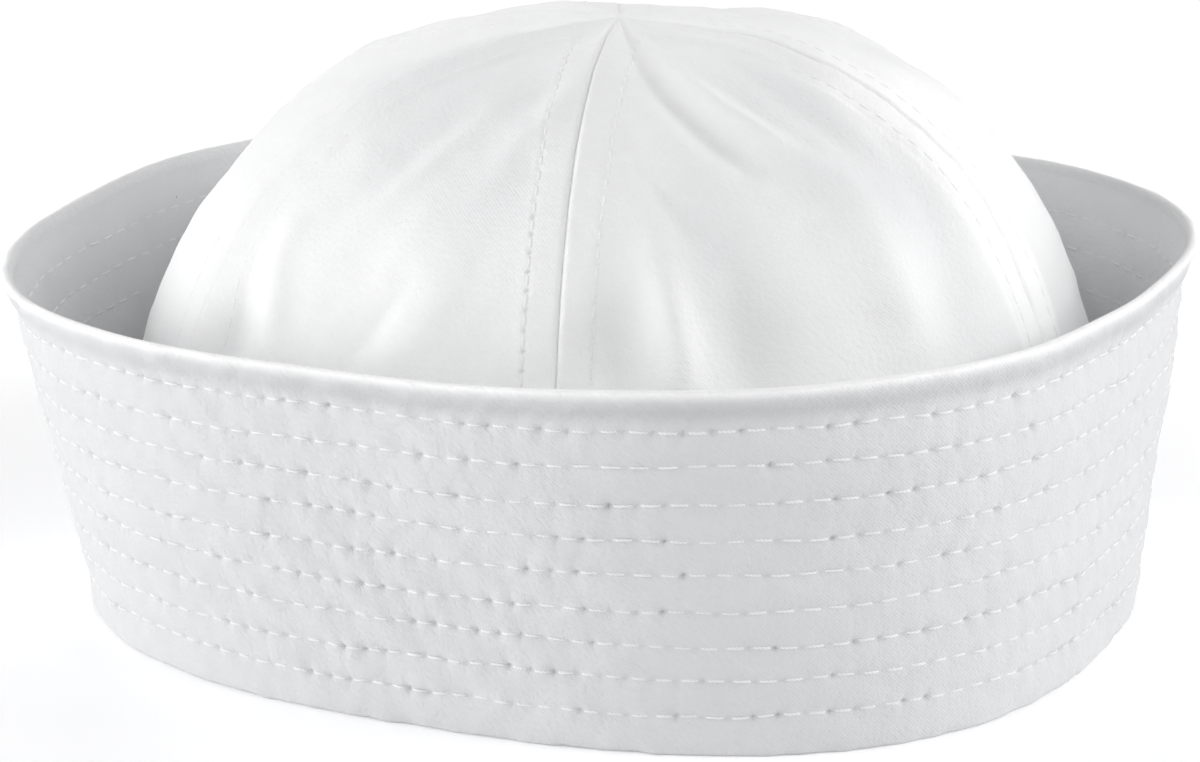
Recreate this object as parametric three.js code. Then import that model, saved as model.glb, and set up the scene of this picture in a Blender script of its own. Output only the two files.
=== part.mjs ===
// A cotton sailor cap: a round crown of six sewn panels inside a turned-up brim.
// Millimetres, +Z up, the cap's front towards -Y, resting on the brim's foot at z = 0.
import * as THREE from 'three';

// Driving dimensions
const crownHeight = 110.1;
const crownCloth = 1.6;
const brimThickness = 3;
const footRounding = 1.2;
const pieceGap = 0.3;
const crownLift = 0.4;
const tipRadius = 1.2;
const tipFlat = 12; // folds and ridges fade out within this radius of the tip
const crownLeavesFoot = 8; // from this height the crown's outline turns from the brim foot's
const crownSettles = 58; // to its own, which it reaches here
const profileSteepness = 2.86; // exponents of the crown's rounded profile
const profileFullness = 2.64;
const brimCurl = 1.09; // above 1 the brim flares most near its lip
const seamStand = 0.5; // how far the cloth stands out along the upper seams
const panelSag = 1.2; // and how far it is drawn in between them, from the seams' height
const tightFrom = 45; // the sag begins at this height
const tightAt = 95; // and is full at this one
const tilt = { rise: 0.03, towards: 32 }; // the top leans up by this share, on this side

// Facets
const panelColumns = 14;
const panelRows = 16;
const panelRowBias = 1.25;
const brimColumns = 84;
const brimRows = 7;
const footArcSteps = 2;
const lipArcSteps = 5;

// Horizontal outlines, one row each: rounded ovals whose long axis is turned from the front
const outlines = {
  brimFoot: { halfLength: 97, halfWidth: 84.6, turn: 8.8, squareness: 2.5, x: 1.5, y: -2.3 },
  brimLip: { halfLength: 105.6, halfWidth: 99.3, turn: 1.1, squareness: 2.67, x: 0, y: 0 },
  crown: { halfLength: 91.9, halfWidth: 82.6, turn: 22, squareness: 2.43, x: 1.6, y: -2.5 },
  crownTop: { halfLength: 91, halfWidth: 84, turn: 22, squareness: 2.1, x: 1.6, y: -2.5 },
};

// Angles are degrees round from the front, anticlockwise from above
const seamAngles = [3.5, 62, 122, 185, 240, 294];

// The brim's height round the cap
const lipHeights = [
  { angle: 0, height: 69.7 },
  { angle: 45, height: 70.6 },
  { angle: 90, height: 68.7 },
  { angle: 135, height: 67.9 },
  { angle: 180, height: 69.3 },
  { angle: 225, height: 66.2 },
  { angle: 270, height: 68.4 },
  { angle: 315, height: 71.3 },
];

// Folds and dents of the crown, a row each: where it is, how far it spreads, how far it leans
// sideways in degrees for each millimetre of height, and how far the cloth stands out
const crownFolds = [
  { angle: 243, height: 62, across: 6, up: 9, lean: 0, depth: -2.6 },
  { angle: 249, height: 71, across: 3, up: 14, lean: -0.25, depth: 1.6 },
  { angle: 269, height: 70, across: 3, up: 7, lean: 0.33, depth: -0.9 },
  { angle: 304, height: 65, across: 4.5, up: 10, lean: 0, depth: -1.7 },
  { angle: 312, height: 69, across: 3.5, up: 14, lean: -0.1, depth: 2.4 },
  { angle: 320, height: 66, across: 4.5, up: 14, lean: 0, depth: -2 },
  { angle: 319, height: 100, across: 5, up: 8, lean: -1.2, depth: -1.3 },
  { angle: 328, height: 101, across: 4, up: 7, lean: -1.2, depth: 1.3 },
  { angle: 340, height: 76, across: 4, up: 14, lean: 0, depth: 1.2 },
  { angle: 350, height: 86, across: 3.5, up: 26, lean: 0.25, depth: -1.5 },
  { angle: 75, height: 109, across: 16, up: 6, lean: 0, depth: -0.6 },
  { angle: 95, height: 72, across: 6, up: 18, lean: 0.1, depth: -1.4 },
  { angle: 122, height: 108, across: 12, up: 8, lean: 0, depth: -1.2 },
  { angle: 140, height: 66, across: 4, up: 14, lean: 0, depth: 1.6 },
  { angle: 150, height: 107, across: 12, up: 8, lean: 0, depth: 1 },
  { angle: 205, height: 74, across: 6, up: 16, lean: -0.1, depth: -1.5 },
];

const radians = THREE.MathUtils.degToRad;
const mix = THREE.MathUtils.lerp;

// The mix of two outlines, every column by the same share
function mixOutlines(from, to, share) {
  const mixed = {};
  for (const column of Object.keys(from)) mixed[column] = mix(from[column], to[column], share);
  return mixed;
}

// Radius of a rounded oval (a superellipse) in the direction of an angle
function outlineRadius(outline, angle) {
  const along = Math.abs(Math.cos(radians(angle - outline.turn)) / outline.halfLength);
  const aside = Math.abs(Math.sin(radians(angle - outline.turn)) / outline.halfWidth);
  return (along ** outline.squareness + aside ** outline.squareness) ** (-1 / outline.squareness);
}

// Point at a radius and height, measured from an outline's own centre
function pointAt(outline, angle, radius, height) {
  const x = outline.x + radius * Math.sin(radians(angle));
  const y = outline.y - radius * Math.cos(radians(angle));
  return new THREE.Vector3(x, y, height);
}

// Smooth height of the lip at an angle, a closed cubic through the table's rows
function lipHeight(angle) {
  const count = lipHeights.length;
  const place = (((angle % 360) + 360) % 360) / (360 / count);
  const row = Math.floor(place);
  const [before, start, end, after] = [row - 1, row, row + 1, row + 2].map(
    (index) => lipHeights[(index + count) % count].height,
  );
  const t = place - row;
  const bend = 2 * before - 5 * start + 4 * end - after;
  const twist = 3 * (start - end) + after - before;
  return start + 0.5 * t * (end - before + t * (bend + t * twist));
}

// How far the folds push the crown's cloth out at an angle and height
function foldDepth(angle, height) {
  let depth = 0;
  for (const fold of crownFolds) {
    const centre = fold.angle + fold.lean * (height - fold.height);
    const aside = (((angle - centre + 540) % 360) - 180) / fold.across;
    const above = (height - fold.height) / fold.up;
    depth += fold.depth * Math.exp(-(aside ** 2) - above ** 2);
  }
  return depth;
}

// How far the upper cloth stands out at the seams and is drawn in between them
function panelDepth(angle, height) {
  const turn = seamAngles[0] + ((((angle - seamAngles[0]) % 360) + 360) % 360);
  const panel = seamAngles.findLastIndex((seam) => seam <= turn);
  const nextSeam = panel + 1 < seamAngles.length ? seamAngles[panel + 1] : seamAngles[0] + 360;
  const share = (turn - seamAngles[panel]) / (nextSeam - seamAngles[panel]);
  const tight = THREE.MathUtils.smoothstep(height, tightFrom, tightAt);
  return tight * (seamStand - panelSag * Math.sin(Math.PI * share) ** 0.8);
}

// The brim's foot drawn in by what the crown needs to stand inside it
function crownFoot() {
  const inset = brimThickness + pieceGap;
  const foot = outlines.brimFoot;
  return { ...foot, halfLength: foot.halfLength - inset, halfWidth: foot.halfWidth - inset };
}

// Outline of the crown at a height: the foot's below, its own above, rounder at the top
function crownOutline(height) {
  const settled = THREE.MathUtils.smoothstep(height, crownLeavesFoot, crownSettles);
  const body = mixOutlines(crownFoot(), outlines.crown, settled);
  return mixOutlines(body, outlines.crownTop, (height / crownHeight) ** 4);
}

// Crown profile at a turn from 0 (foot) to a quarter circle (tip): reach is the share of the
// outline's radius, and reach^fullness + height^steepness is constant
function crownProfile(turn, angle) {
  const height = crownHeight * Math.sin(turn) ** (2 / profileSteepness);
  const outline = crownOutline(height);
  const radius = outlineRadius(outline, angle) * Math.cos(turn) ** (2 / profileFullness);
  return { outline, radius, height };
}

// A point on the crown, a depth under its outer face, measured square to the profile
function crownPoint(turn, angle, depth) {
  const step = 0.002;
  const here = crownProfile(turn, angle);
  const below = crownProfile(Math.max(turn - step, 0), angle);
  const above = crownProfile(Math.min(turn + step, Math.PI / 2 - step / 8), angle);
  const rise = above.height - below.height;
  const run = above.radius - below.radius;
  const length = Math.hypot(rise, run);
  const settle = Math.min(here.radius / tipFlat, 1);
  const cloth = (foldDepth(angle, here.height) + panelDepth(angle, here.height)) * settle;
  const out = cloth - depth;
  const radius = here.radius + (out * rise) / length;
  const lean = tilt.rise * radius * Math.cos(radians(angle - tilt.towards));
  const lifted = here.height + lean * (here.height / crownHeight) ** 3;
  const raised = Math.max(lifted - (out * run) / length, 0) + crownLift;
  return pointAt(here.outline, angle, radius, raised);
}

// Closed solid from rings of points: each ring is a list, the rings close on themselves
function solidFromLoop(rings) {
  const positions = [];
  for (const ring of rings) for (const point of ring) positions.push(point.x, point.y, point.z);
  const size = rings[0].length;
  const indices = [];
  for (let i = 0; i < rings.length; i += 1) {
    for (let j = 0; j < size; j += 1) {
      const a = i * size + j;
      const b = i * size + ((j + 1) % size);
      const c = ((i + 1) % rings.length) * size + j;
      const d = ((i + 1) % rings.length) * size + ((j + 1) % size);
      indices.push(a, c, b, b, c, d);
    }
  }
  return geometryFrom(positions, indices);
}

// Closed solid between an outer and an inner grid of points, with its four edges closed
function solidFromGrids(outer, inner) {
  const rows = outer.length;
  const columns = outer[0].length;
  const positions = [];
  for (const grid of [outer, inner]) {
    for (const row of grid) for (const point of row) positions.push(point.x, point.y, point.z);
  }
  const at = (layer, row, column) => (layer * rows + row) * columns + column;
  const indices = [];
  for (let row = 0; row < rows - 1; row += 1) {
    for (let column = 0; column < columns - 1; column += 1) {
      for (const layer of [0, 1]) {
        const corners = [at(layer, row, column), at(layer, row, column + 1)];
        corners.push(at(layer, row + 1, column + 1), at(layer, row + 1, column));
        pushQuad(indices, layer === 0 ? corners : corners.reverse());
      }
    }
  }
  for (let column = 0; column < columns - 1; column += 1) {
    const next = column + 1;
    const last = rows - 1;
    pushQuad(indices, [at(1, 0, column), at(1, 0, next), at(0, 0, next), at(0, 0, column)]);
    pushQuad(indices, [at(0, last, column), at(0, last, next), at(1, last, next), at(1, last, column)]);
  }
  for (let row = 0; row < rows - 1; row += 1) {
    const next = row + 1;
    const last = columns - 1;
    pushQuad(indices, [at(1, next, 0), at(1, row, 0), at(0, row, 0), at(0, next, 0)]);
    pushQuad(indices, [at(0, next, last), at(0, row, last), at(1, row, last), at(1, next, last)]);
  }
  return geometryFrom(positions, indices);
}

// Two triangles for four corners given in order
function pushQuad(indices, [a, b, c, d]) {
  indices.push(a, b, c, a, c, d);
}

function geometryFrom(positions, indices) {
  const geometry = new THREE.BufferGeometry();
  geometry.setAttribute('position', new THREE.Float32BufferAttribute(positions, 3));
  geometry.setIndex(indices);
  geometry.computeVertexNormals();
  return geometry;
}

// One crown panel between two seams, held half a gap back from each
function crownPanel(startAngle, endAngle) {
  const lastTurn = Math.acos((tipRadius / outlines.crownTop.halfWidth) ** (profileFullness / 2));
  const grids = [0, crownCloth].map((depth) => {
    const rows = [];
    for (let row = 0; row <= panelRows; row += 1) {
      const turn = lastTurn * (row / panelRows) ** panelRowBias;
      const { radius } = crownProfile(turn, startAngle);
      const margin = THREE.MathUtils.radToDeg(pieceGap / 2 / radius);
      const points = [];
      for (let column = 0; column <= panelColumns; column += 1) {
        const angle = mix(startAngle + margin, endAngle - margin, column / panelColumns);
        points.push(crownPoint(turn, angle, depth));
      }
      rows.push(points);
    }
    return rows;
  });
  return solidFromGrids(grids[0], grids[1]);
}

// The brim's wall cut at one angle, as steps of height and of distance in from its outer face
function brimSection(height) {
  const points = [];
  for (let step = 0; step <= footArcSteps; step += 1) {
    const turn = (Math.PI / 2) * (step / footArcSteps);
    const inward = footRounding * (1 - Math.sin(turn));
    points.push({ inward, height: footRounding * (1 - Math.cos(turn)) });
  }
  const lipRadius = brimThickness / 2;
  const wallTop = height - lipRadius;
  for (let row = 1; row < brimRows; row += 1) {
    points.push({ inward: 0, height: mix(footRounding, wallTop, row / brimRows) });
  }
  for (let step = 0; step <= lipArcSteps; step += 1) {
    const turn = Math.PI * (step / lipArcSteps);
    const inward = lipRadius * (1 - Math.cos(turn));
    points.push({ inward, height: wallTop + lipRadius * Math.sin(turn) });
  }
  for (let row = brimRows - 1; row >= 0; row -= 1) {
    points.push({ inward: brimThickness, height: mix(0, wallTop, row / brimRows) });
  }
  return points;
}

// The turned-up brim: the foot's outline flares to the lip's
function brim() {
  const rings = [];
  for (let column = 0; column < brimColumns; column += 1) {
    const angle = (360 * column) / brimColumns;
    const top = lipHeight(angle);
    const ring = brimSection(top).map((step) => {
      const share = (step.height / top) ** brimCurl;
      const outline = mixOutlines(outlines.brimFoot, outlines.brimLip, share);
      return pointAt(outline, angle, outlineRadius(outline, angle) - step.inward, step.height);
    });
    rings.push(ring);
  }
  return solidFromLoop(rings);
}

function whiteCotton(colour) {
  return new THREE.MeshStandardMaterial({ color: colour, roughness: 0.9, metalness: 0 });
}

const cap = new THREE.Group();

function addPiece(name, geometry, material) {
  const mesh = new THREE.Mesh(geometry, material);
  mesh.name = name;
  cap.add(mesh);
}

for (let panel = 0; panel < seamAngles.length; panel += 1) {
  const startAngle = seamAngles[panel];
  const nextSeam = panel + 1;
  const endAngle = nextSeam < seamAngles.length ? seamAngles[nextSeam] : seamAngles[0] + 360;
  addPiece(`crown_panel_${nextSeam}`, crownPanel(startAngle, endAngle), whiteCotton('#e6e7ea'));
}
addPiece('brim', brim(), whiteCotton('#e1e3e7'));

export default cap;
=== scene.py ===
import math

import bmesh
import bpy
import numpy as np
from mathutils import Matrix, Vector


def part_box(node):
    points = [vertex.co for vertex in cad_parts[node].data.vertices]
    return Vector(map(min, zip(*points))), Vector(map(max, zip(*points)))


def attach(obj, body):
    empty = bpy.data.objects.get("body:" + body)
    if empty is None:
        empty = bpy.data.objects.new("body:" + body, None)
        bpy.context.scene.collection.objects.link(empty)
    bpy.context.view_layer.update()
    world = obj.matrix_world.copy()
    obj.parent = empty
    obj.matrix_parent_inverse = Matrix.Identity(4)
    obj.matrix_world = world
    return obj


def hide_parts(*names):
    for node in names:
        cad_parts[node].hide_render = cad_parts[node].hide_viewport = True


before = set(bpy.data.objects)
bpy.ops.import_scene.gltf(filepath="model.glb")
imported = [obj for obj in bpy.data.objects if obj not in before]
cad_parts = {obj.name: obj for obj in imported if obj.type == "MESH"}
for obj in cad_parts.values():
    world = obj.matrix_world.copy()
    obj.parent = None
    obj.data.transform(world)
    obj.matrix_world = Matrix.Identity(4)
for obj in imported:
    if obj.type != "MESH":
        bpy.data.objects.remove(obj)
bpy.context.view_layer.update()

mm = 0.001  # lengths below are millimetres, and become metres as a mesh is made
print("cap: frame loaded")

# Angles are degrees round from the cap's front (-Y), anticlockwise from above.
brimLow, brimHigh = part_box("brim")
lipHalfLength = (brimHigh[1] - brimLow[1]) / 2 / mm
lipHalfWidth = (brimHigh[0] - brimLow[0]) / 2 / mm
panelNames = sorted(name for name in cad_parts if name.startswith("crown_panel"))
crownTop = max(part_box(name)[1][2] for name in panelNames) / mm

# Ovals: half length and half width as shares of the brim's lip, turn in degrees, squareness, centre
ovals = {
    "foot": (0.9194, 0.8538, 8.8, 2.5, 1.5, -2.3),
    "lip": (1.0, 1.0, 1.1, 2.67, 0.0, 0.0),
    "crown": (0.8711, 0.8336, 22.0, 2.43, 1.6, -2.5),
    "crownTop": (0.8625, 0.8478, 22.0, 2.1, 1.6, -2.5),
}


def smoothStep(value, low, high):
    # 0 below low, 1 above high, and 3t^2 - 2t^3 between them
    t = np.clip((value - low) / (high - low), 0, 1)
    return t * t * (3 - 2 * t)


def oval(name):
    length, width, turn, squareness, x, y = ovals[name]
    return np.array([length * lipHalfLength, width * lipHalfWidth, turn, squareness, x, y])


def ovalRadius(shape, angle):
    # superellipse: (|cos|/length)^n + (|sin|/width)^n, to the power -1/n
    aside = np.radians(angle - shape[..., 2])
    along = np.abs(np.cos(aside) / shape[..., 0]) ** shape[..., 3]
    across = np.abs(np.sin(aside) / shape[..., 1]) ** shape[..., 3]
    return (along + across) ** (-1 / shape[..., 3])


def mixed(first, second, share):
    share = np.asarray(share)[..., None]
    return first * (1 - share) + second * share


def around(shape, angle, radius, height):
    # a point at a radius and height, measured from the oval's own centre
    x = shape[..., 4] + radius * np.sin(np.radians(angle))
    y = shape[..., 5] - radius * np.cos(np.radians(angle))
    return np.stack(np.broadcast_arrays(x, y, height), -1)


def ripple(points, wavelength, seed, waves=20):
    # sum of plane waves in random directions, each of about one wavelength, scaled to about -1..1
    rng = np.random.default_rng(seed)
    direction = rng.normal(size=(3, waves))
    direction /= np.linalg.norm(direction, axis=0)
    direction *= 2 * math.pi / (wavelength * rng.uniform(0.7, 1.4, waves))
    phase = rng.uniform(0, 2 * math.pi, waves)
    return np.cos(points @ direction + phase).sum(-1) / math.sqrt(waves / 2) / 1.6


def ripples(points, table):
    # sum of ripples: height, wavelength and seed of each
    return sum(high * ripple(points, wavelength, seed) for high, wavelength, seed in table)


def unit(vectors):
    return vectors / np.maximum(np.linalg.norm(vectors, axis=-1, keepdims=True), 1e-9)


def normalsOf(surface, u, v, stepU, stepV):
    # cross product of the two tangents, each from a small step to both sides
    tangentU = surface(u + stepU, v) - surface(u - stepU, v)
    tangentV = surface(u, v + stepV) - surface(u, v - stepV)
    return unit(np.cross(tangentU, tangentV))


def gridFaces(rows, columns, closed=False, flip=False, offset=0):
    # four corners for each cell of a grid numbered row by row; closed joins last column to first
    across = columns if closed else columns - 1
    row, column = np.meshgrid(np.arange(rows - 1), np.arange(across), indexing="ij")
    low, high = row * columns, (row + 1) * columns
    after = (column + 1) % columns
    cell = np.stack([low + column, low + after, high + after, high + column], -1).reshape(-1, 4)
    return (cell[:, ::-1] if flip else cell) + offset


def makeMesh(name, points, faces, uv, lap=None, **values):
    # points in mm; faces are rows of four corner numbers; uv and the named values are given for
    # each point; lap is the length round a closed cloth, added where a face crosses its join
    sides = faces.shape[1]
    mesh = bpy.data.meshes.new(name)
    mesh.vertices.add(len(points))
    mesh.vertices.foreach_set("co", (points * mm).astype(np.float32).ravel())
    mesh.loops.add(faces.size)
    mesh.loops.foreach_set("vertex_index", faces.astype(np.int32).ravel())
    mesh.polygons.add(len(faces))
    mesh.polygons.foreach_set("loop_start", np.arange(0, faces.size, sides, dtype=np.int32))
    mesh.polygons.foreach_set("loop_total", np.full(len(faces), sides, dtype=np.int32))
    mesh.update(calc_edges=True)
    mesh.validate()
    mesh.shade_smooth()
    layer = mesh.uv_layers.new(name="cloth")
    corner = np.zeros(len(mesh.loops), dtype=np.int32)
    mesh.loops.foreach_get("vertex_index", corner)
    cornerUv = uv[corner].reshape(-1, sides, 2)
    if lap:
        sideways = cornerUv[..., 0]
        sideways += lap * (sideways < sideways.max(1, keepdims=True) - lap / 2)
    layer.data.foreach_set("uv", (cornerUv * mm).astype(np.float32).ravel())
    for key, value in values.items():
        attribute = mesh.attributes.new(key, "FLOAT", "POINT")
        attribute.data.foreach_set("value", value.astype(np.float32).ravel())
    piece = bpy.data.objects.new(name, mesh)
    bpy.context.collection.objects.link(piece)
    return piece


def finishPiece(piece, slot, material, *nodes):
    piece.data.materials.append(material)
    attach(piece, "root")
    if nodes:
        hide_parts(*nodes)


def node(tree, kind, x, y, **values):
    made = tree.nodes.new(kind)
    made.location = (x, y)
    for key, value in values.items():
        if key in made.inputs:
            made.inputs[key].default_value = value
        else:
            setattr(made, key, value)
    return made


onePerMm = 0.314  # scale at which a wave texture repeats once in a mm

cotton = {
    # one white cotton in three tones: the brim's copy is darker as painted shade, the inside's
    # lighter as painted light
    "crown": {"colour": (0.82, 0.823, 0.833), "bump": 0.55},
    "brim": {"colour": (0.69, 0.694, 0.704), "bump": 0.8},
    "inside": {"colour": (0.79, 0.795, 0.805), "bump": 0.4},
    "uneven": (0.95, 1.03),  # the colour's least and greatest share
    # plain white of the painted light
    "pale": (0.975, 0.975, 0.975),
    # dark grey of the painted shade, at needle holes and in shaded bands
    "paintedShadeColour": (0.12, 0.12, 0.14),
    "roughness": 0.92,
    "sheen": 0.2,
    "rib": 0.36,  # distance between ribs
    "yarn": 0.288,  # distance between the yarns that cross them
    "yarnShare": 0.6,  # relief of the yarns, and of the slubs, against the ribs
    "slubShare": 10.0,
    # painted shade in the grooves between ribs
    "ribShade": 0.03,
    "relief": 0.000036,  # in metres
}


def cottonTwill(name, colour, bump):
    # diagonal ribs crossed by yarns, on the cloth's own UV in mm, with slubs and faint unevenness
    material = bpy.data.materials.new(name)
    material.use_nodes = True
    tree = material.node_tree
    tree.nodes.clear()
    link = tree.links.new
    output = node(tree, "ShaderNodeOutputMaterial", 900, 0)
    shader = node(tree, "ShaderNodeBsdfPrincipled", 640, 0, Roughness=cotton["roughness"])
    shader.inputs["Sheen Weight"].default_value = cotton["sheen"]
    shader.inputs["Sheen Roughness"].default_value = 0.5
    shader.inputs["Specular IOR Level"].default_value = 0.25
    uvMap = node(tree, "ShaderNodeUVMap", -1300, 0, uv_map="cloth")
    inMm = node(tree, "ShaderNodeMapping", -1100, 0)
    inMm.inputs["Scale"].default_value = (1000, 1000, 1000)
    ribs = node(tree, "ShaderNodeTexWave", -820, 200, Scale=onePerMm / cotton["rib"])
    ribs.inputs["Distortion"].default_value = 1.2
    ribs.inputs["Detail"].default_value = 1.0
    ribs.bands_direction = "DIAGONAL"
    yarns = node(tree, "ShaderNodeTexWave", -820, -60, Scale=onePerMm / cotton["yarn"])
    yarns.inputs["Distortion"].default_value = 0.5
    yarns.bands_direction = "X"
    slubs = node(tree, "ShaderNodeTexNoise", -820, -320, Scale=1.1, Detail=4.0)
    unevenness = node(tree, "ShaderNodeTexNoise", -820, -600, Scale=0.045, Detail=3.0)
    ribsAndYarns = node(tree, "ShaderNodeMath", -580, 80, operation="MULTIPLY_ADD")
    ribsAndYarns.inputs[1].default_value = cotton["yarnShare"]
    relief = node(tree, "ShaderNodeMath", -380, 0, operation="MULTIPLY_ADD")
    relief.inputs[1].default_value = cotton["slubShare"]
    bumps = node(tree, "ShaderNodeBump", 380, -260, Strength=bump, Distance=cotton["relief"])
    paler = node(tree, "ShaderNodeMixRGB", -120, 260, blend_type="MIX")
    least, most = cotton["uneven"]
    paler.inputs["Color1"].default_value = (*[c * least for c in colour], 1)
    paler.inputs["Color2"].default_value = (*[c * most for c in colour], 1)
    # painted shade: the colour darkens a little in the grooves between ribs
    yarnShade = node(tree, "ShaderNodeMixRGB", 100, 220, blend_type="MULTIPLY")
    yarnShade.inputs["Fac"].default_value = cotton["ribShade"]
    # painted shade: a share read from each point, at needle holes and in shaded bands, mixes the
    # colour towards dark grey
    paintedShadeShare = node(tree, "ShaderNodeAttribute", -120, -60, attribute_name="shade")
    # painted light: a share read from each point mixes the colour towards plain white
    paintedLightShare = node(tree, "ShaderNodeAttribute", -120, 60, attribute_name="pale")
    paleMix = node(tree, "ShaderNodeMixRGB", 230, 360, blend_type="MIX")
    paleMix.inputs["Color2"].default_value = (*cotton["pale"], 1)
    paintedShadeMix = node(tree, "ShaderNodeMixRGB", 360, 160, blend_type="MIX")
    paintedShadeMix.inputs["Color2"].default_value = (*cotton["paintedShadeColour"], 1)
    link(uvMap.outputs["UV"], inMm.inputs["Vector"])
    for texture in (ribs, yarns, slubs, unevenness):
        link(inMm.outputs["Vector"], texture.inputs["Vector"])
    link(yarns.outputs["Fac"], ribsAndYarns.inputs[0])
    link(ribs.outputs["Fac"], ribsAndYarns.inputs[2])
    link(slubs.outputs["Fac"], relief.inputs[0])
    link(ribsAndYarns.outputs["Value"], relief.inputs[2])
    link(relief.outputs["Value"], bumps.inputs["Height"])
    link(unevenness.outputs["Fac"], paler.inputs["Fac"])
    link(paler.outputs["Color"], yarnShade.inputs["Color1"])
    link(ribs.outputs["Fac"], yarnShade.inputs["Color2"])
    link(yarnShade.outputs["Color"], paleMix.inputs["Color1"])
    link(paintedLightShare.outputs["Fac"], paleMix.inputs["Fac"])
    link(paleMix.outputs["Color"], paintedShadeMix.inputs["Color1"])
    link(paintedShadeShare.outputs["Fac"], paintedShadeMix.inputs["Fac"])
    link(paintedShadeMix.outputs["Color"], shader.inputs["Base Color"])
    link(bumps.outputs["Normal"], shader.inputs["Normal"])
    link(shader.outputs["BSDF"], output.inputs["Surface"])
    return material


def sewingThread(name, dark, light):
    # twisted plies: a fine diagonal wave along each stitch's own UV, darker in the grooves between
    # plies as painted shade
    material = bpy.data.materials.new(name)
    material.use_nodes = True
    tree = material.node_tree
    tree.nodes.clear()
    link = tree.links.new
    output = node(tree, "ShaderNodeOutputMaterial", 500, 0)
    shader = node(tree, "ShaderNodeBsdfPrincipled", 240, 0, Roughness=0.7)
    shader.inputs["Sheen Weight"].default_value = 0.2
    shader.inputs["Specular IOR Level"].default_value = 0.35
    uvMap = node(tree, "ShaderNodeUVMap", -760, 0, uv_map="cloth")
    inMm = node(tree, "ShaderNodeMapping", -560, 0)
    inMm.inputs["Scale"].default_value = (1000, 1000, 1000)
    plies = node(tree, "ShaderNodeTexWave", -340, 0, Scale=onePerMm / 0.35)
    plies.bands_direction = "DIAGONAL"
    shades = node(tree, "ShaderNodeMixRGB", -60, 120)
    shades.inputs["Color1"].default_value = (dark, dark, dark, 1)
    shades.inputs["Color2"].default_value = (light, light, light, 1)
    bumps = node(tree, "ShaderNodeBump", -60, -200, Strength=0.5, Distance=0.00005)
    link(uvMap.outputs["UV"], inMm.inputs["Vector"])
    link(inMm.outputs["Vector"], plies.inputs["Vector"])
    link(plies.outputs["Fac"], shades.inputs["Fac"])
    link(plies.outputs["Fac"], bumps.inputs["Height"])
    link(shades.outputs["Color"], shader.inputs["Base Color"])
    link(bumps.outputs["Normal"], shader.inputs["Normal"])
    link(shader.outputs["BSDF"], output.inputs["Surface"])
    return material


threadTones = {
    # dark and light of the twisted plies, the dark being painted shade in the grooves; one white
    # thread in three tones, the brim's darkest as painted shade
    "brim": (0.75, 0.84),
    "inside": (0.78, 0.82),
    "crown": (0.84, 0.9),
}

crownCotton = cottonTwill("crownCotton", **cotton["crown"])
brimCotton = cottonTwill("brimCotton", **cotton["brim"])
innerCotton = cottonTwill("innerCotton", **cotton["inside"])
brimThread = sewingThread("brimThread", *threadTones["brim"])
innerThread = sewingThread("innerThread", *threadTones["inside"])
crownThread = sewingThread("crownThread", *threadTones["crown"])
print("cap: materials made")


# The crown: six sewn panels.
crown = {
    "height": crownTop - 0.7,  # of the plain profile, before the top leans
    "lift": 0.4,  # the crown's edge above the surface that the cap stands on
    "inset": 3.3,  # of the crown's edge from the outer face of the brim's foot
    "steepness": 2.86,  # power of the height in the profile
    "fullness": 2.64,  # power of the reach in the profile
    "leavesFoot": 8.0,  # height where the crown stops following the foot's oval
    "settles": 58.0,  # height where it has its own oval
    "tiltRise": 0.03,  # of the leaning top, for each mm of reach
    "tiltTowards": 32.0,
    "cloth": 1.1,  # thickness
    "tight": (45.0, 95.0),  # heights where the panels begin to sag, and sag fully
    "seamStand": 0.5,  # how far the seams stand out there
    "panelSag": 1.2,
    "tipFlat": 12.0,  # radius where the folds die away round the tip
    "uneven": ((0.34, 34, 11), (0.2, 15, 12)),  # height, wavelength and seed of soft waves
    "rumpled": ((0.08, 7, 13), (0.025, 3.5, 14)),  # and of small ones
    "seams": (3.5, 62.0, 122.0, 185.0, 240.0, 294.0),
    "hiddenBelow": 38,  # distance up the crown that the brim hides
    "rowsBelow": 26,  # rows of the mesh there
    "rowsAbove": 226,
    "middleColumns": 46,
}

# The seams: heights, depths and widths in mm, and one value for each seam in the last three rows
sewing = {
    "tip": (2, 7),  # the seams fade out between these radii
    "allowance": (6.2, 8.2),  # the pressed band ends between these distances from the seam
    "allowanceHeight": 0.3,
    "insideAllowance": (7.2, 7.8),  # the same on the inner face
    "insideHeight": 0.55,
    "splitDepth": 0.4,  # between the two allowances
    "splitWidth": 0.5,
    "grooveDepth": 0.62,
    "grooveWidth": 0.42,
    "stepHeight": 0.10,  # one panel's edge lies a little over the next
    "topstitch": 6.0,  # distance of a row of stitches from its seam
    "pitch": 3.6,
    "rowDepth": 0.14,
    "rowWidth": 0.7,
    "holeDepth": 0.3,
    "holeWidth": 0.42,
    "pucker": 0.07,
    "puckerAt": 4.5,
    "puckerWidth": 3.5,
    "plainTip": (9, 14),  # the rows fade out between these radii
    "shadedTo": 95,  # distance up the crown to which the needle holes get painted shade
    "sewnDepth": (0.5, 1.0, 1.0, 1.0, 0.2, 0.9),
    "grooves": (0.75, 0.8, 0.5, 0.8, 0.45, 1.0),
    # painted shade at the needle holes
    "holeShade": (0.12, 0.2, 0.2, 0.2, 0.05, 0.34),
}

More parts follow.
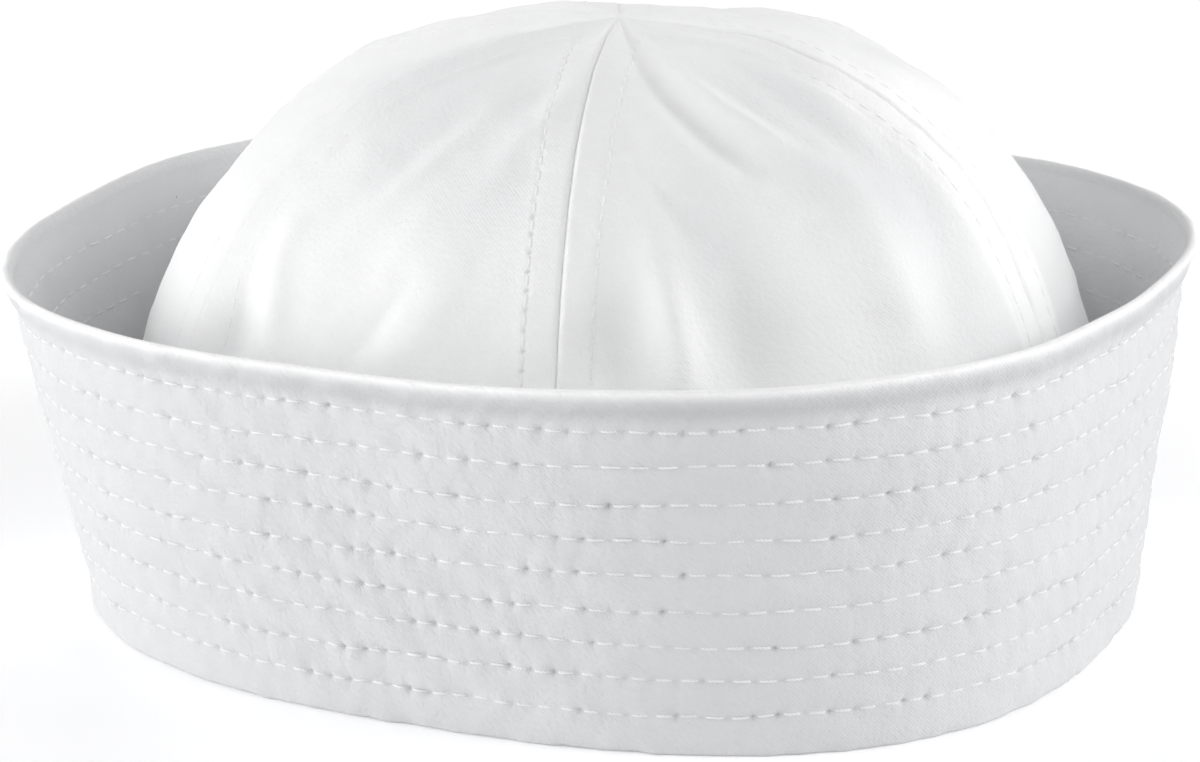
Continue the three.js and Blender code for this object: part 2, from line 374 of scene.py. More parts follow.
# Folds: angle, height, spread in degrees, spread in height, lean in degrees for each mm, depth
crownFolds = (
    (246.5, 62, 4.4, 9, 0.0, -5.0),
    (252.5, 70, 2.6, 14, -0.25, 1.6),
    (258, 88, 3.5, 9, 0.5, -0.7),
    (264, 92, 3.0, 9, 0.6, 0.7),
    (269, 70, 1.8, 6, 0.33, -0.7),
    (274, 69, 4.0, 10, 0.3, 0.6),
    (284, 100, 4.0, 8, 0.8, 0.8),
    (302, 65, 4.0, 10, 0.0, -2.4),
    (309.5, 69, 3.0, 14, -0.1, 3.2),
    (318.5, 66, 4.0, 14, 0.0, -2.9),
    (309, 92, 3.0, 9, -0.7, -0.8),
    (320, 100, 4.2, 8, -1.2, -2.0),
    (328, 101, 3.4, 7, -1.2, 1.7),
    (340, 76, 3.6, 14, 0.0, 1.5),
    (345, 97, 3.6, 8, -0.6, -0.9),
    (351, 84, 4.0, 24, 0.25, -1.1),
    (75, 109, 16.0, 6, 0.0, -0.6),
    (95, 72, 6.0, 18, 0.1, -1.4),
    (122, 108, 12.0, 8, 0.0, -1.2),
    (140, 66, 4.0, 14, 0.0, 1.6),
    (150, 107, 12.0, 8, 0.0, 1.0),
    (205, 74, 6.0, 16, -0.1, -1.5),
)

# Painted light on the crown, as shares of plain white
paintedLightOnCrown = {
    "crown": 0.5,
    "stripSeam": 0,  # the number of the seam whose strip gets a painted highlight, white all over
    "stripEdge": (8.2, 9.4),  # the strip ends between these distances from its seam
    "stripTop": (98, 108),  # and fades between these heights
    # painted light on the low crown, against the shade of the brim
    "low": 0.16,
    "lowTop": (70, 95),
    "lowFrom": 200,  # angle where the painted light on the low part starts
    "lowRise": (0, 12),  # degrees on from there over which it grows
    "lowFall": (125, 150),  # and over which it fades
}

# Places of painted light and painted shade: the same columns as the folds, the last one a share of
# plain white
palePlaces = (
    (242, 78, 5.0, 10, 0.0, -0.3),
    (248, 76, 3.0, 10, -0.25, 0.15),
    (240, 105, 14.0, 8, 0.0, -0.35),
    (259, 96, 7.0, 9, 0.0, -0.35),
    (268, 76, 7.0, 10, 0.0, 0.25),
    (312, 69, 3.0, 10, -0.1, 0.4),
    (340, 74, 5.0, 12, 0.0, 0.2),
    (20, 93, 14.0, 14, 0.0, 0.6),
    (281, 92, 14.0, 12, 0.0, -0.3),
    (316, 84, 7.0, 12, 0.0, -0.4),
    (270, 106, 30.0, 6, 0.0, -0.36),
    (345, 104, 16.0, 6, 0.0, -0.4),
    (349, 88, 6.0, 9, 0.0, -0.5),
    (337, 92, 8.0, 8, 0.0, -0.3),
)


def crownOval(height):
    # the foot's oval drawn in below, the crown's own above, rounder towards the top
    inside = oval("foot")
    inside[:2] -= crown["inset"]
    body = mixed(inside, oval("crown"), smoothStep(height, crown["leavesFoot"], crown["settles"]))
    return mixed(body, oval("crownTop"), (height / crown["height"]) ** 4)


def crownProfile(turn, angle):
    # reach^fullness + height^steepness = 1, walked by a turn from 0 (foot) to a quarter circle
    height = crown["height"] * np.sin(turn) ** (2 / crown["steepness"])
    shape = crownOval(height)
    radius = ovalRadius(shape, angle) * np.cos(turn) ** (2 / crown["fullness"])
    return shape, radius, height


def turnTable():
    # turn against distance along the profile of a middling panel, for even steps
    turn = np.linspace(0, math.pi / 2, 6001)
    _, radius, height = crownProfile(turn, np.full_like(turn, 30.0))
    distance = np.concatenate([[0], np.cumsum(np.hypot(np.diff(radius), np.diff(height)))])
    return turn, distance


turnSteps, turnDistances = turnTable()
crownRise = turnDistances[-1]


def turnAt(distance):
    return np.interp(distance, turnDistances, turnSteps)


def seamDistance(angle, radius):
    # signed distance round the crown to the nearest seam, and that seam's number
    off = (angle[..., None] - np.array(crown["seams"]) + 540) % 360 - 180
    nearest = np.abs(off).argmin(-1)
    return np.radians(np.take_along_axis(off, nearest[..., None], -1)[..., 0]) * radius, nearest


def bells(table, angle, height):
    # sum of bells, each amount * exp(-(sideways/spread)^2 - (upwards/spread)^2)
    total = 0
    for bellAngle, bellHeight, across, up, lean, amount in table:
        aside = ((angle - bellAngle - lean * (height - bellHeight) + 540) % 360 - 180) / across
        total = total + amount * np.exp(-aside**2 - ((height - bellHeight) / up) ** 2)
    return total


def foldRelief(angle, height):
    # the folds, and towards the top panels that sag a little between seams that stand up
    depth = bells(crownFolds, angle, height)
    first = crown["seams"][0]
    seams = np.array(crown["seams"] + (first + 360,))
    turned = first + np.mod(angle - first, 360)
    panel = np.searchsorted(seams, turned, side="right") - 1
    share = (turned - seams[panel]) / (seams[panel + 1] - seams[panel])
    tight = smoothStep(height, *crown["tight"])
    return depth + tight * (crown["seamStand"] - crown["panelSag"] * np.sin(math.pi * share) ** 0.8)


def crownPaintedLight(angle, height, radius):
    # painted light and painted shade: the places above, painted light on the low crown against the
    # brim's shade, and a painted highlight on one pressed seam's strip
    x, seam = seamDistance(angle, radius)
    onSeam = (seam == paintedLightOnCrown["stripSeam"]) * (1 - smoothStep(np.abs(x), *paintedLightOnCrown["stripEdge"]))
    strip = onSeam * (1 - smoothStep(height, *paintedLightOnCrown["stripTop"]))
    turned = np.mod(angle - paintedLightOnCrown["lowFrom"], 360)
    nearSide = smoothStep(turned, *paintedLightOnCrown["lowRise"]) * (1 - smoothStep(turned, *paintedLightOnCrown["lowFall"]))
    low = paintedLightOnCrown["low"] * (1 - smoothStep(height, *paintedLightOnCrown["lowTop"])) * nearSide
    return np.clip(paintedLightOnCrown["crown"] + bells(palePlaces, angle, height) + strip + low, 0, 1)


def seamStart(side, seam):
    # the part of a stitch at which each row starts
    return 0.37 * seam + 0.5 * (side > 0)


def seamRelief(angle, distance, radius):
    # pressed allowance under the seam, its groove, the sewn rows beside it and their needle holes,
    # with painted shade at the holes
    x, seam = seamDistance(angle, radius)
    side = np.abs(x)
    fade = smoothStep(radius, *sewing["tip"])
    sewnPart = smoothStep(radius, *sewing["plainTip"])
    depth = np.array(sewing["sewnDepth"])[seam] * (1 - 0.4 * (x > 0))
    band = sewing["allowanceHeight"] * (1 - smoothStep(side, *sewing["allowance"]))
    groove = np.array(sewing["grooves"])[seam] * np.exp(-((x / sewing["grooveWidth"]) ** 2))
    step = sewing["stepHeight"] * np.tanh(x / 0.25) * np.exp(-((x / 2.5) ** 2))
    row = side - sewing["topstitch"]
    sewn = depth * np.exp(-((row / sewing["rowWidth"]) ** 2))
    phase = distance / sewing["pitch"] + seamStart(x, seam)
    along = (phase - np.round(phase)) * sewing["pitch"]
    hole = np.exp(-(row**2 + along**2) / sewing["holeWidth"] ** 2) * sewnPart
    puckered = np.exp(-(((side - sewing["puckerAt"]) / sewing["puckerWidth"]) ** 2))
    pucker = depth * np.cos(2 * math.pi * phase) * puckered
    lift = band + (step - sewing["grooveDepth"] * groove) * fade
    lift = lift + (sewing["pucker"] * pucker - sewing["rowDepth"] * sewn) * sewnPart
    # painted shade at the needle holes
    dark = hole * np.array(sewing["holeShade"])[seam] * (1 - 0.7 * (x > 0))
    return lift - sewing["holeDepth"] * depth * hole, dark * (distance < sewing["shadedTo"])


def crownBase(angle, turn, lift):
    # the plain profile moved out by lift, square to the profile, with the top leaning
    small = 0.002
    shape, radius, height = crownProfile(turn, angle)
    _, radiusBelow, heightBelow = crownProfile(np.maximum(turn - small, 0), angle)
    _, radiusAbove, heightAbove = crownProfile(np.minimum(turn + small, math.pi / 2), angle)
    rise, run = heightAbove - heightBelow, radiusAbove - radiusBelow
    length = np.hypot(rise, run)
    out = radius + lift * rise / length
    lean = crown["tiltRise"] * out * np.cos(np.radians(angle - crown["tiltTowards"]))
    raised = height + lean * (height / crown["height"]) ** 3 - lift * run / length
    return around(shape, angle, out, np.maximum(raised, 0) + crown["lift"])


def crownCloth(angle, distance):
    # outer face: profile, folds, soft unevenness of the cloth, and the seams
    turn = turnAt(distance)
    _, radius, height = crownProfile(turn, angle)
    settle = np.minimum(radius / crown["tipFlat"], 1)
    plain = crownBase(angle, turn, 0.0)
    stretched = plain * np.array([1.0, 1.0, 0.45])
    uneven = ripples(stretched, crown["uneven"]) + ripples(plain, crown["rumpled"])
    lift = (foldRelief(angle, height) + uneven) * settle + seamRelief(angle, distance, radius)[0]
    return crownBase(angle, turn, lift)


def crownLining(angle, distance):
    # inner face: a cloth's thickness under the outer one, with the seam allowances standing in
    turn = turnAt(distance)
    _, radius, height = crownProfile(turn, angle)
    settle = np.minimum(radius / crown["tipFlat"], 1)
    x, _ = seamDistance(angle, radius)
    band = 1 - smoothStep(np.abs(x), *sewing["insideAllowance"])
    allowance = sewing["insideHeight"] * band * smoothStep(radius, *sewing["tip"])
    split = sewing["splitDepth"] * np.exp(-((x / sewing["splitWidth"]) ** 2))
    lift = foldRelief(angle, height) * settle - crown["cloth"] - allowance + split
    return crownBase(angle, turn, lift)


# Distances of the mesh's columns from a seam, closest at the seam and at the sewn row
edgeColumns = np.array(
    [0, 0.2, 0.42, 0.75, 1.3, 2.1, 3.1, 4.1, 4.8, 5.25, 5.65, 6.0, 6.35, 6.75, 7.2, 7.8, 8.8, 10.2]
)


def panelAngles(start, end, distance, columns, middle):
    # columns at set distances from both seams, squeezed where the panel narrows, even between
    turn = turnAt(distance)
    radius = crownProfile(turn, np.full_like(turn, (start + end) / 2))[1]
    half = math.radians(end - start) / 2
    squeeze = np.minimum(1, 0.8 * half * radius / columns[-1])
    offset = np.degrees(columns * (squeeze / np.maximum(radius, 1e-3))[:, None])
    share = np.linspace(0, 1, middle + 2)[1:-1]
    first, last = start + offset[:, -1:], end - offset[:, -1:]
    between = first + (last - first) * share
    return np.concatenate([start + offset, between, end - offset[:, ::-1]], 1)


def closeGrids(name, outer, inner, uv, **values):
    # outer and inner grids of one size joined round their edges into a closed cloth
    rows, columns = outer.shape[:2]
    count = rows * columns
    numbers = np.arange(count).reshape(rows, columns)
    rim = np.concatenate([numbers[0, :-1], numbers[:-1, -1], numbers[-1, :0:-1], numbers[:0:-1, 0]])
    after = np.roll(rim, -1)
    edge = np.stack([rim + count, after + count, after, rim], -1)
    faces = np.concatenate(
        [gridFaces(rows, columns), gridFaces(rows, columns, flip=True, offset=count), edge]
    )
    points = np.concatenate([outer.reshape(-1, 3), inner.reshape(-1, 3)])
    both = {key: np.append(value.ravel(), 0 * value.ravel()) for key, value in values.items()}
    piece = makeMesh(name, points, faces, np.tile(uv.reshape(-1, 2), (2, 1)), **both)
    work = bmesh.new()
    work.from_mesh(piece.data)
    bmesh.ops.remove_doubles(work, verts=work.verts, dist=2e-6)
    bmesh.ops.dissolve_degenerate(work, edges=work.edges, dist=1e-7)
    work.to_mesh(piece.data)
    work.free()
    return piece


def crownPanel(number, start, end):
    # one panel between two seams, a closed cloth with its own piece of UV
    hidden = crown["hiddenBelow"]
    below = np.linspace(0, hidden, crown["rowsBelow"], endpoint=False)
    above = np.linspace(hidden, crownRise - 0.02, crown["rowsAbove"])
    distance = np.concatenate([below, above])
    angle = panelAngles(start, end, distance, edgeColumns, crown["middleColumns"])
    along = np.broadcast_to(distance[:, None], angle.shape)
    outer = crownCloth(angle, along)
    inner = crownLining(angle, along)
    _, radius, height = crownProfile(turnAt(along), angle)
    dark = seamRelief(angle, along, radius)[1]
    # painted light and painted shade laid on the crown's colour
    pale = crownPaintedLight(angle, height, radius)
    across = np.radians(angle - (start + end) / 2) * radius
    rng = np.random.default_rng(40 + number)
    uv = np.stack([across, along], -1) + rng.uniform(0, 50, 2)
    piece = closeGrids(f"crownPanel{number}", outer, inner, uv, shade=dark, pale=pale)
    finishPiece(piece, "crown_cotton", crownCotton, f"crown_panel_{number}")


seamTurns = crown["seams"] + (crown["seams"][0] + 360.0,)
for number in range(1, len(panelNames) + 1):
    crownPanel(number, seamTurns[number - 1], seamTurns[number])
print("cap: crown panels sewn")


# The brim: a stitched wall turned up all round.
brim = {
    "thickness": 3.0,
    "footRounding": 1.2,
    "curl": 1.09,  # power of the height in the flare
    "outset": 0.4,  # how far the wall stands out from the plain ovals
    "join": 185.0,  # where round the brim its cloth meets itself
    "drum": 96.0,  # radius of a plain drum about as wide as the brim
    "lipHeights": (69.7, 70.6, 68.7, 67.9, 69.3, 66.2, 68.4, 71.3),  # every 45 degrees
    "stitchRows": 9,
    "stitches": 138,  # in each row
    "stitchLength": 4.5,  # on average
    "rowGroove": 0.2,
    "grooveWidth": 0.75,
    "puff": 0.22,  # how far the cloth swells between two rows
    "hole": 0.5,
    "holeWidth": 0.42,
    # painted shade at the needle holes
    "holeShade": 0.34,
    "stitchPucker": 0.2,
    "puckerReach": 1.7,
    "lipThickness": 1.9,  # the wall thins towards its rolled lip
    "tuck": 3.0,  # how far the outer cloth turns down inside the lip
    "drawnIn": 0.9,  # how far the wall goes in under the lip
    "drawnAt": 6.0,  # distance down from the lip where it goes in most
    "drawnSpread": (2.9, 8.0),  # above that place and below it
    "sway": ((0.4, 60, 21), (0.16, 24, 22)),  # height, wavelength and seed of the wall's waves
    "puckers": ((0.2, 7, 23), (0.13, 3.4, 25)),  # and of small puckers
    "puckerStretch": (0.65, 0.65, 1.4),  # which are longer round the brim than they are high
}

# Painted shade and painted light on the brim's cloth
brimPaintedShading = {
    "underLip": (0.13, 0.08, 30),  # painted shade, its change round the brim, and the angle of that change
    "underLipAt": 3.2,
    "underLipWidth": 1.9,
    "lip": (0.25, 0.55),  # painted light: share of plain white inside the lip, and added on top
    "insideTop": (0.055, 0.045, 190),  # painted shade high inside, its change round the brim, and the angle of that
    "insideLow": 0.4,  # painted light: share of plain white low down inside
    # painted shade at the inside needle holes
    "insideHole": 0.08,
}


def lipHeight(angle):
    # closed cubic through the heights given every 45 degrees
    heights = np.array(brim["lipHeights"])
    place = np.mod(angle, 360) / (360 / len(heights))
    row = np.floor(place).astype(int)
    before, start, end, after = [heights[(row + k) % len(heights)] for k in (-1, 0, 1, 2)]
    t = place - row
    bend = 2 * before - 5 * start + 4 * end - after
    return start + 0.5 * t * (end - before + t * (bend + t * (3 * (start - end) + after - before)))


def onDrum(angle, height):
    # the plain drum, on which the brim's slow unevenness is laid out
    aside = np.radians(angle)
    x, y = brim["drum"] * np.sin(aside), -brim["drum"] * np.cos(aside)
    return np.stack(np.broadcast_arrays(x, y, height), -1)


def roundBrim(angle):
    # length of cloth round the brim from its join at the back
    return np.radians(np.mod(angle - brim["join"], 360)) * brim["drum"]


def wallTop(angle):
    # height of the middle of the rolled lip, which rises and falls a few tenths of a millimetre
    wave = 0.35 * ripple(onDrum(angle, 0 * angle), 45, 31)
    return lipHeight(angle) - brim["lipThickness"] / 2 + wave - 0.2


def brimWall(angle, height, inward):
    # foot oval flaring to lip oval as (height / lip height)^curl, less the distance inward, and
    # both faces swaying together
    share = np.clip(height / lipHeight(angle), 0, 1.2) ** brim["curl"]
    shape = mixed(oval("foot"), oval("lip"), share)
    place = onDrum(angle, height)
    sway = ripples(place, brim["sway"])
    radius = ovalRadius(shape, angle) + sway * smoothStep(share, 0.05, 0.3) + brim["outset"]
    return around(shape, angle, radius - inward, height)


def rowShares():
    return np.arange(1, brim["stitchRows"] + 1) / (brim["stitchRows"] + 1)


def rowShift(share, side):
    # each sewn row starts at its own part of a stitch; between rows the shift runs smoothly
    rng = np.random.default_rng(5 if side > 0 else 6)
    shares = np.concatenate([[0], rowShares(), [1]])
    shifts = np.concatenate([[0], rng.uniform(-0.5, 0.5, brim["stitchRows"]), [0]])
    return np.interp(share, shares, shifts)


def rowWander(angle, row, side):
    # rows are sewn by eye: each strays a few tenths of a millimetre up and down
    turn = np.radians(angle)
    phase = 2.1 * row + (0 if side > 0 else 1.3)
    slow = 0.28 * np.sin(3 * turn + phase) + 0.16 * np.sin(8 * turn + 2.7 * phase)
    return slow + 0.12 * np.sin(31 * turn + 2 * phase)


def holeStrength(number, row):
    # 0.15 to 1, scattered from hole to hole by the fraction of a large sine
    return 0.15 + 0.85 * np.mod(np.sin(number * 12.9898 + row * 78.233) * 437.5, 1) ** 2


def brimRelief(angle, share, side):
    # swelling between sewn rows, a groove along each, and a dimple at each needle hole
    rows = brim["stitchRows"] + 1
    span = lipHeight(angle) / rows
    row = np.clip(np.round(share * rows), 1, brim["stitchRows"])
    off = (share * rows - row) * span - rowWander(angle, row, side)
    phase = angle / 360 * brim["stitches"] - rowShift(row / rows, side)
    along = (phase - np.round(phase)) * brim["stitchLength"]
    strength = holeStrength(np.mod(np.round(phase), brim["stitches"]), row)
    groove = brim["rowGroove"] * np.exp(-((off / brim["grooveWidth"]) ** 2))
    hole = np.exp(-(off**2 + along**2) / brim["holeWidth"] ** 2) * strength
    swell = brim["puff"] * (np.minimum(np.abs(off) / (span / 2), 1) ** 0.8 - 1)
    near = np.exp(-((off / brim["puckerReach"]) ** 2))
    pucker = brim["stitchPucker"] * strength * np.cos(2 * math.pi * phase) * near
    return swell - groove - brim["hole"] * hole - pucker, hole


def brimPucker(points):
    # small puckers between the rows
    return ripples(points * np.array(brim["puckerStretch"]), brim["puckers"])


def brimSection(samples):
    # steps of the wall's section, from under the foot up the outside, over the lip and a little
    # down inside: share of the height, fixed height, distance inward, and outward direction
    rounding, lip, tuck = brim["footRounding"], brim["lipThickness"] / 2, brim["tuck"]
    rows = []
    for inward in np.linspace(brim["thickness"], rounding, 4)[:-1]:
        rows.append((0.0, 0.0, inward, 0.0, -1.0))
    for turn in np.linspace(0, math.pi / 2, 4):
        out, down = math.sin(turn), math.cos(turn)
        rows.append((0.0, rounding * (1 - down), rounding * (1 - out), out, -down))
    span = 1 / (brim["stitchRows"] + 1)
    sewn = [row + np.array(samples) * span for row in rowShares()]
    underLip = [0.945, 0.957, 0.969, 0.98, 0.99]
    for share in np.concatenate([[0.04], *sewn, underLip]):
        rows.append((share, 0.0, 0.0, 1.0, 0.0))
    for turn in np.linspace(0, math.pi, 9)[1:]:
        out, up = math.cos(turn), math.sin(turn)
        rows.append((1.0, lip * up, lip * (1 - out), out, up))
    rows.append((1.0, -tuck / 2, 2 * lip, -1.0, 0.0))
    rows.append((1.0, -tuck, 2 * lip - 0.3, -1.0, 0.0))
    return np.array(rows).T


def lipDrop(angle, share):
    # the wall is drawn in a little under the rolled lip
    above, below = brim["drawnSpread"]
    off = (1 - share) * lipHeight(angle) - brim["drawnAt"]
    return -brim["drawnIn"] * np.exp(-((off / np.where(off < 0, above, below)) ** 2))


def lipShade(angle, share):
    # painted shade: a greyer band just under the lip, where the rolled lip shades the wall
    shade, change, turned = brimPaintedShading["underLip"]
    off = (1 - share) * lipHeight(angle) - brimPaintedShading["underLipAt"]
    level = shade + change * np.cos(np.radians(angle + turned))
    return level * np.exp(-((off / brimPaintedShading["underLipWidth"]) ** 2))


def brimOuter(angle, share, fixed=0.0, inward=0.0, out=1.0, up=0.0):
    # the outer cloth: wall, lip and foot, moved out by its relief
    rounding = brim["footRounding"]
    height = np.where(share > 0, rounding + (wallTop(angle) - rounding) * share, 0) + fixed
    plain = brimWall(angle, height, inward)
    east, south = np.sin(np.radians(angle)), -np.cos(np.radians(angle))
    onWall = smoothStep(share, 0.0, 0.04) * (1 - smoothStep(share, 0.985, 1.0))
    relief, _ = brimRelief(angle, share, 1)
    lift = onWall * (relief + lipDrop(angle, share)) + brimPucker(plain) * np.maximum(out, 0)
    lift = lift + 0.12 * ripple(plain, 5, 24) * (share <= 0)
    direction = np.stack([east * out, south * out, up + 0 * angle], -1)
    moved = plain + direction * lift[..., None]
    moved[..., 2] = np.maximum(moved[..., 2], 0)
    return moved


def stitchedAngles(share, parts, side):
    # columns of the mesh: each stitch is cut at its parts, and each row starts at its own shift
    turns = (np.arange(brim["stitches"])[:, None] + np.array(parts)).ravel() / brim["stitches"]
    return 360 * (turns + rowShift(share, side)[:, None] / brim["stitches"])


def brimOuterPiece():
    # seven rows of the mesh to each sewn row, and eight columns to each stitch
    section = brimSection((-0.34, -0.17, -0.065, 0, 0.065, 0.17, 0.34))
    angle = stitchedAngles(section[0], (0, 0.09, 0.2, 0.35, 0.5, 0.65, 0.8, 0.91), 1)
    share, fixed, inward, out, up = [np.broadcast_to(v[:, None], angle.shape) for v in section]
    points = brimOuter(angle, share, fixed, inward, out, up)
    _, hole = brimRelief(angle, share, 1)
    rows, columns = angle.shape
    steps = np.linalg.norm(np.diff(points[:, :1], axis=0), axis=-1)
    risen = np.concatenate([[[0]], np.cumsum(steps, axis=0)])
    uv = np.stack(np.broadcast_arrays(roundBrim(angle), risen), -1)
    onWall = (share > 0.05) & (share < 0.95)
    low, added = brimPaintedShading["lip"]
    # painted shade at the needle holes and under the lip, and painted light on the lip
    piece = makeMesh(
        "brimOuterCloth",
        points.reshape(-1, 3),
        gridFaces(rows, columns, closed=True),
        uv.reshape(-1, 2),
        lap=2 * math.pi * brim["drum"],
        shade=brim["holeShade"] * hole * onWall + lipShade(angle, share) * (out > 0.9),
        pale=(low + added * smoothStep(out, -0.75, 0.1)) * smoothStep(share, 0.985, 1.0),
    )
    finishPiece(piece, "brim_cotton", brimCotton, "brim")


def brimInner(angle, share):
    # the inner cloth, from the lip's tucked edge down to the foot
    height = (wallTop(angle) - 1.2) * share + 0.1
    thinning = (brim["lipThickness"] - brim["thickness"]) * smoothStep(share, 0.55, 1.0)
    plain = brimWall(angle, height, brim["thickness"] + thinning + 0.05)
    relief, _ = brimRelief(angle, share, -1)
    onWall = smoothStep(share, 0.0, 0.06) * (1 - smoothStep(share, 0.95, 1.0))
    lift = onWall * (relief * 0.2 - 0.4 * lipDrop(angle, share) + 0.6 * brimPucker(plain))
    inwards = np.stack([-np.sin(np.radians(angle)), np.cos(np.radians(angle)), 0 * angle], -1)
    return plain + inwards * lift[..., None]


def brimInnerPiece():
    samples = np.array([-0.32, -0.1, 0, 0.1, 0.32]) / (brim["stitchRows"] + 1)
    share = np.concatenate([[0, 0.03], *[row + samples for row in rowShares()], [0.96, 0.98, 1.0]])
    angle = stitchedAngles(share, (0, 0.12, 0.35, 0.65, 0.88), -1)
    share = np.broadcast_to(share[:, None], angle.shape)
    points = brimInner(angle, share)
    _, hole = brimRelief(angle, share, -1)
    rows, columns = angle.shape
    uv = np.stack([roundBrim(angle), 70 * share], -1)
    onWall = (share > 0.05) & (share < 0.95)
    # painted shade high inside, stronger round one side, and painted light low down inside
    level, change, turned = brimPaintedShading["insideTop"]
    grey = level + change * np.cos(np.radians(angle - turned))
    piece = makeMesh(
        "brimInnerCloth",
        points.reshape(-1, 3),
        gridFaces(rows, columns, closed=True, flip=True),
        uv.reshape(-1, 2),
        lap=2 * math.pi * brim["drum"],
        shade=brimPaintedShading["insideHole"] * hole * onWall + grey * smoothStep(share, 0.6, 0.9),
        pale=brimPaintedShading["insideLow"] * (1 - smoothStep(share, 0.2, 0.75)),
    )
    finishPiece(piece, "brim_cotton", innerCotton, "brim")


brimOuterPiece()
brimInnerPiece()
print("cap: brim made")


thread = {
    "radius": 0.24,
    "flat": (1.15, 0.9),  # its width and height as shares of the radius
    "outerSunk": 0.15,  # how deep the stitches lie on the brim's outer face
    "innerSunk": 0.26,
    "crownSunk": 0.33,
    "endsIn": 0.5,  # how deep a stitch's ends go in
    "slimEnds": 0.35,
    "sides": 6,
    "stations": 6,
    "shown": (0.06, 0.94),  # the part of a stitch's length that is thread
    "uneven": (0.09, 26, 51),  # height, wavelength and seed of how deep the brim's stitches lie
}


def threadPiece(name, material, path, normal, sunk):
    # path: stitches x stations x 3, on the cloth; each stitch is a bent rod whose ends go in,
    # and whose middle is sunk by its own depth
    stitches, stations = path.shape[:2]
    radius, sides = thread["radius"], thread["sides"]
    along = np.linspace(-1, 1, stations)
    arch = radius * 0.75 - sunk[:, None] - thread["endsIn"] * np.abs(along) ** 7
    centre = path + normal * arch[..., None]
    forward = unit(np.gradient(centre, axis=1))
    aside = unit(np.cross(forward, normal))[:, :, None, :]
    over = np.cross(aside, forward[:, :, None, :])
    turn = np.linspace(0, 2 * math.pi, sides, endpoint=False)
    wide, high = thread["flat"]
    circle = wide * np.cos(turn)[:, None] * aside + high * np.sin(turn)[:, None] * over
    slim = radius * (1 - thread["slimEnds"] * np.abs(along) ** 6)
    points = centre[:, :, None, :] + circle * slim[:, None, None]
    start = np.array([[0, 1, 2, 3], [0, 3, 4, 5]])  # two faces close the six-sided end
    end = start[:, ::-1] + (stations - 1) * sides
    single = np.concatenate([gridFaces(stations, sides, closed=True, flip=True), start, end])
    faces = single + (np.arange(stitches) * stations * sides)[:, None, None]
    step = np.linalg.norm(np.diff(centre, axis=1), axis=-1)
    run = np.concatenate([np.zeros((stitches, 1)), np.cumsum(step, 1)], 1)
    uv = np.stack(np.broadcast_arrays(turn * radius, run[:, :, None]), -1)
    piece = makeMesh(name, points.reshape(-1, 3), faces.reshape(-1, 4), uv.reshape(-1, 2))
    finishPiece(piece, "stitching_thread", material)


def brimStitches(name, material, surface, side, sunk):
    # one stitch between each two needle holes, in every row
    station = np.linspace(*thread["shown"], thread["stations"])
    number = np.arange(brim["stitches"])
    row, stitch, place = np.meshgrid(rowShares(), number, station, indexing="ij")
    angle = 360 * (stitch + place + rowShift(row, side)) / brim["stitches"]
    rowNumber = np.round(row * (brim["stitchRows"] + 1))
    share = row + rowWander(angle, rowNumber, side) / lipHeight(angle)
    points = surface(angle, share)
    normal = normalsOf(surface, angle, share, 0.3, 0.004)
    outward = unit(onDrum(angle, 0 * angle)) * side
    normal = normal * np.sign((normal * outward).sum(-1, keepdims=True))
    shape = (-1, thread["stations"], 3)
    starts = points[..., 0, :].reshape(-1, 3)
    depth = sunk + ripples(starts, [thread["uneven"]])
    threadPiece(name, material, points.reshape(shape), normal.reshape(shape), depth)


def crownStitches():
    # a row each side of every seam, from the foot to near the tip
    paths, normals, depths = [], [], []
    station = np.linspace(*thread["shown"], thread["stations"])
    pitch = sewing["pitch"]
    for seam, seamAngle in enumerate(crown["seams"]):
        for side in (-1, 1):
            start = seamStart(side, seam)
            first, last = math.ceil(2 / pitch + start), math.floor((crownRise - 13) / pitch + start)
            number = np.arange(first, last)
            distance = (number[:, None] + station - start) * pitch
            radius = crownProfile(turnAt(distance), np.full_like(distance, seamAngle))[1]
            angle = seamAngle + side * np.degrees(sewing["topstitch"] / radius)
            paths.append(crownCloth(angle, distance))
            normals.append(normalsOf(crownCloth, angle, distance, 0.4, 0.5))
            sunk = thread["crownSunk"] - 0.1 * sewing["sewnDepth"][seam]
            depths.append(np.full(len(number), sunk))
    together = [np.concatenate(rows) for rows in (paths, normals, depths)]
    threadPiece("crownStitches", crownThread, *together)


brimStitches("brimOuterStitches", brimThread, brimOuter, 1, thread["outerSunk"])
brimStitches("brimInnerStitches", innerThread, brimInner, -1, thread["innerSunk"])
crownStitches()
print("cap: stitched")


stage = {
    "floor": 6.0,  # half its width in metres
    "colour": (0.93, 0.93, 0.94),
    "glow": 0.16,  # of the floor itself
    "world": 0.0,  # strength of plain light from all round
    "lampSize": 0.9,
    "lampDistance": 1.6,
    "lampAim": (0, 0, 0.06),
}

camera = {
    "azimuth": -57.7,
    "elevation": 16.53,
    "distance": 0.8571,
    "lens": 135.7,
    "aim": (-0.00023, 0.00037, 0.0406),
}

lights = (
    # name, azimuth from the camera, elevation, watts
    ("leftPanel", -90, 8, 13.9),
    ("leftFrontPanel", -60, 8, 7.9),
    ("leftFill", -60, 35, 2.1),
    ("leftBackPanel", -120, 35, 4.2),
    ("backPanel", 180, 35, 7.8),
    ("rightBackPanel", 120, 35, 4.6),
    ("rightPanel", 90, 8, 11.4),
    ("rightKey", 60, 35, 9.5),
    ("frontFill", 0, 35, 4.7),
    ("topPanel", -20, 62, 2.2),
)


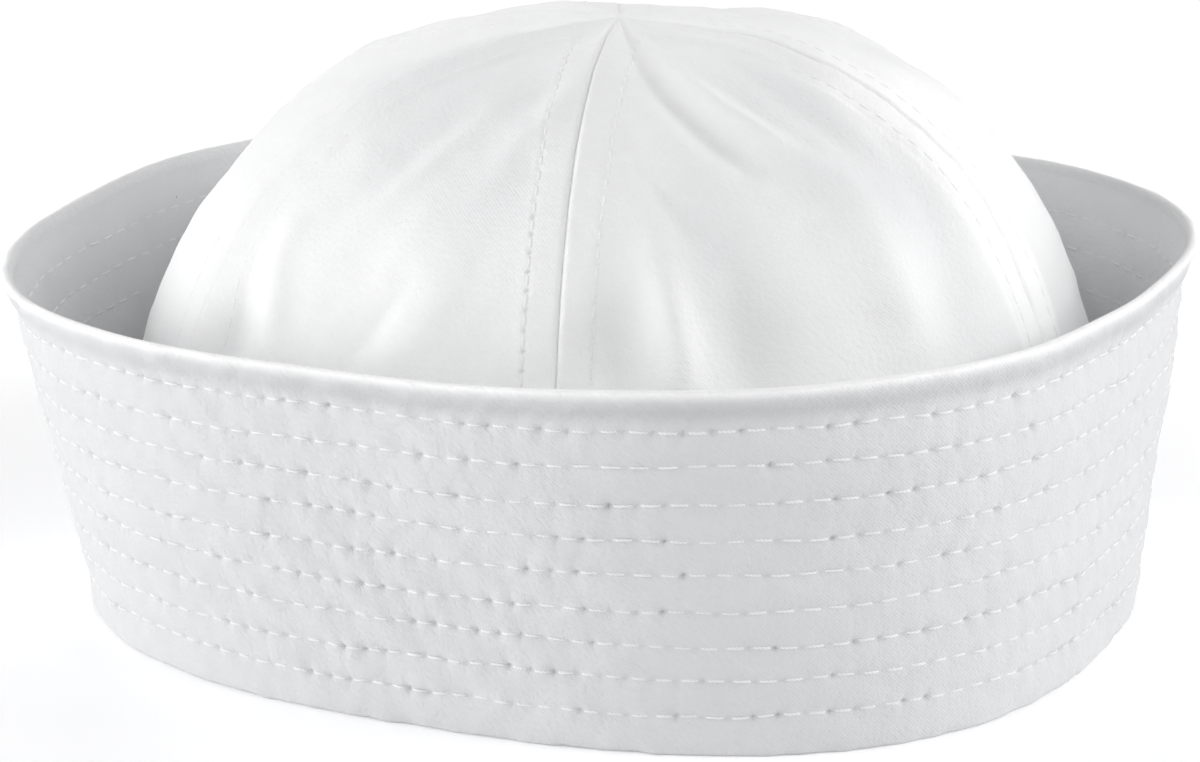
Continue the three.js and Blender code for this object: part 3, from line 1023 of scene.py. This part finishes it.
def placed(azimuth, elevation, distance, aim):
    # a point round the aim: azimuth 0 is in front (-Y), positive towards +X
    a, e = math.radians(azimuth), math.radians(elevation)
    flat = math.cos(e)
    return Vector(aim) + distance * Vector((math.sin(a) * flat, -math.cos(a) * flat, math.sin(e)))


def turnedTo(place, aim):
    # the turn that makes a lamp or camera look at the aim
    return (Vector(aim) - place).to_track_quat("-Z", "Y").to_euler()


def setStage():
    mesh = bpy.data.meshes.new("floor")
    half = stage["floor"]
    corners = [(-half, -half, 0), (half, -half, 0), (half, half, 0), (-half, half, 0)]
    mesh.from_pydata(corners, [], [(0, 1, 2, 3)])
    floor = bpy.data.objects.new("floor", mesh)
    bpy.context.collection.objects.link(floor)
    material = bpy.data.materials.new("floorPaint")
    material.use_nodes = True
    shader = material.node_tree.nodes["Principled BSDF"]
    shader.inputs["Base Color"].default_value = (*stage["colour"], 1)
    shader.inputs["Roughness"].default_value = 0.9
    shader.inputs["Emission Color"].default_value = (1, 1, 1, 1)
    shader.inputs["Emission Strength"].default_value = stage["glow"]
    mesh.materials.append(material)
    world = bpy.data.worlds.new("softWorld")
    bpy.context.scene.world = world
    world.use_nodes = True
    world.node_tree.nodes["Background"].inputs["Color"].default_value = (1, 1, 1, 1)
    world.node_tree.nodes["Background"].inputs["Strength"].default_value = stage["world"]


def addLights():
    # soft square panels, all as far from the cap
    for name, azimuth, elevation, watts in lights:
        data = bpy.data.lights.new(name, "AREA")
        data.shape = "SQUARE"
        data.size = stage["lampSize"]
        data.energy = watts
        lamp = bpy.data.objects.new(name, data)
        turned = camera["azimuth"] + azimuth
        lamp.location = placed(turned, elevation, stage["lampDistance"], stage["lampAim"])
        lamp.rotation_euler = turnedTo(lamp.location, stage["lampAim"])
        bpy.context.collection.objects.link(lamp)


def addCamera():
    data = bpy.data.cameras.new("camera")
    data.lens = camera["lens"]
    data.sensor_width = 36.0
    made = bpy.data.objects.new("camera", data)
    aim = camera["aim"]
    made.location = placed(camera["azimuth"], camera["elevation"], camera["distance"], aim)
    made.rotation_euler = turnedTo(made.location, aim)
    bpy.context.collection.objects.link(made)
    bpy.context.scene.camera = made


setStage()
addLights()
addCamera()
bpy.context.scene.view_settings.view_transform = "Standard"

print("cap: done")
